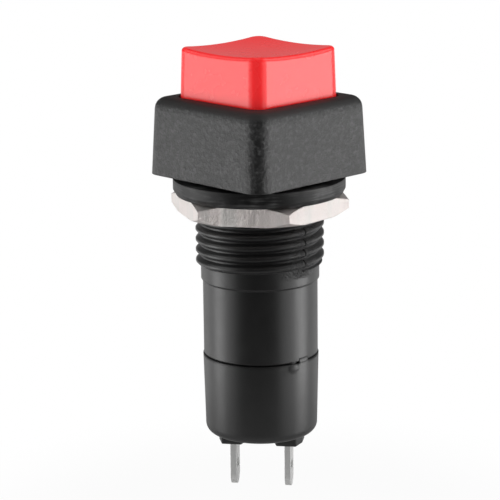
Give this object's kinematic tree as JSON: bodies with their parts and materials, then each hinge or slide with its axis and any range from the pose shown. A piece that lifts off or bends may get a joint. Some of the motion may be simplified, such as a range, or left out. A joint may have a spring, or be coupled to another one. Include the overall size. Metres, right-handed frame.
{
  "type": "pushbutton switch",
  "caption": "Panel pushbutton switch with a square red cap, square black head, threaded barrel, sealing washer, hexagon nut and solder terminals.",
  "frame": {"origin": "on the axis at the underside of the square head, where the head seats on the panel", "axes": "+Z along the axis out of the panel, towards the cap; X and Y square to the sides of the head"},
  "size_m": [0.016, 0.0168, 0.0423],
  "materials": {
    "black_moulding": "fine spark-eroded grain on the head, satin on the barrel",
    "red_cap": "satin gloss",
    "white_moulding": "natural moulded",
    "spring_wire": "drawn wire",
    "contact_strip": "stamped strip",
    "contact_rivet": "silver rivet",
    "tinned_terminal": "matt tin plate over brass",
    "washer_rubber": "moulded rubber with fine rings",
    "plated_nut": "nickel plate with fine machining lines"
  },
  "bodies": {
    "housing": {"housing": "black_moulding", "base": "black_moulding", "return_spring": "spring_wire", "fixed_contact_right": "contact_rivet", "fixed_contact_left": "contact_rivet", "terminal_right": "tinned_terminal", "terminal_left": "tinned_terminal"},
    "button": {"button_cap": "red_cap", "plunger": "white_moulding", "contact_spring": "spring_wire"},
    "bridge": {"contact_bridge": "contact_strip", "moving_contact_right": "contact_rivet", "moving_contact_left": "contact_rivet"},
    "washer": {"sealing_washer": "washer_rubber"},
    "nut": {"hex_nut": "plated_nut"}
  },
  "joints": [
    {"name": "button_press", "type": "slide", "parent": "housing", "child": "button", "axis": [0, 0, -1], "range_m": [0, 0.0025], "stiffness_N_per_m": 600, "springref_m": -0.0017, "deforming": ["return_spring"]},
    {"name": "bridge_lag", "type": "slide", "parent": "button", "child": "bridge", "axis": [0, 0, 1], "range_m": [0, 0.0007], "deforming": ["contact_spring"]},
    {"name": "washer_travel", "type": "slide", "parent": "housing", "child": "washer", "axis": [0, 0, -1], "range_m": [0, 0.0045]},
    {"name": "nut_turn", "type": "hinge", "parent": "washer", "child": "nut", "pos_m": [0, 0, -0.00271], "axis": [0, 0, -1], "range_deg": [0, 1620]}
  ],
  "couplings": [
    {"joint": "bridge_lag", "follows": "button_press", "ratio": 0.28},
    {"joint": "nut_turn", "follows": "washer_travel", "rad_per_m": 6283.2}
  ]
}
